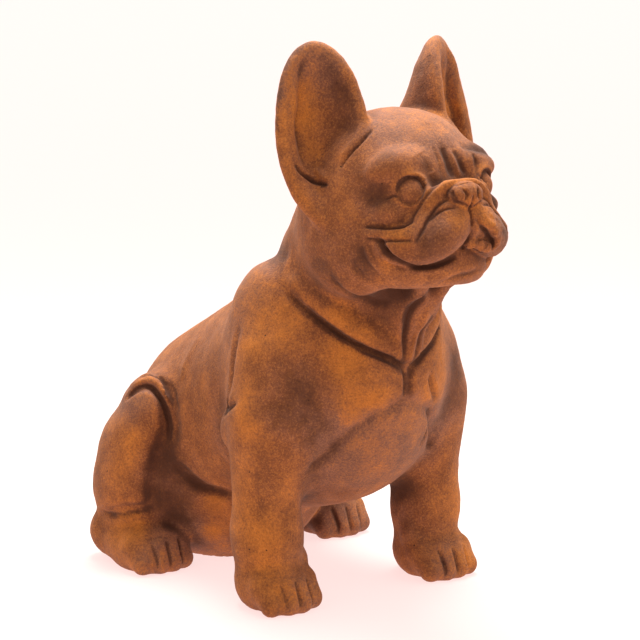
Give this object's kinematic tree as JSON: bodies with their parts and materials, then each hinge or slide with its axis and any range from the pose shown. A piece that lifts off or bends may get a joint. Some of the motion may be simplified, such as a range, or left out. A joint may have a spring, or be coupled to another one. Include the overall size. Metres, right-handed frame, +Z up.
{
  "type": "bulldog sculpture",
  "caption": "Sitting bulldog statue with upright ears, cast in one piece in stone with a rusted-iron finish, resting on its paws and belly",
  "frame": {"origin": "middle of the statue's footprint box, on the floor it stands on", "axes": "+Z up, the dog faces -Y, its left side is +X"},
  "size_m": [0.2375, 0.3672, 0.4131],
  "materials": {
    "rusted_stone": "matte rust patina, granular"
  },
  "bodies": {
    "root": {"bulldog": "rusted_stone"}
  },
  "joints": []
}
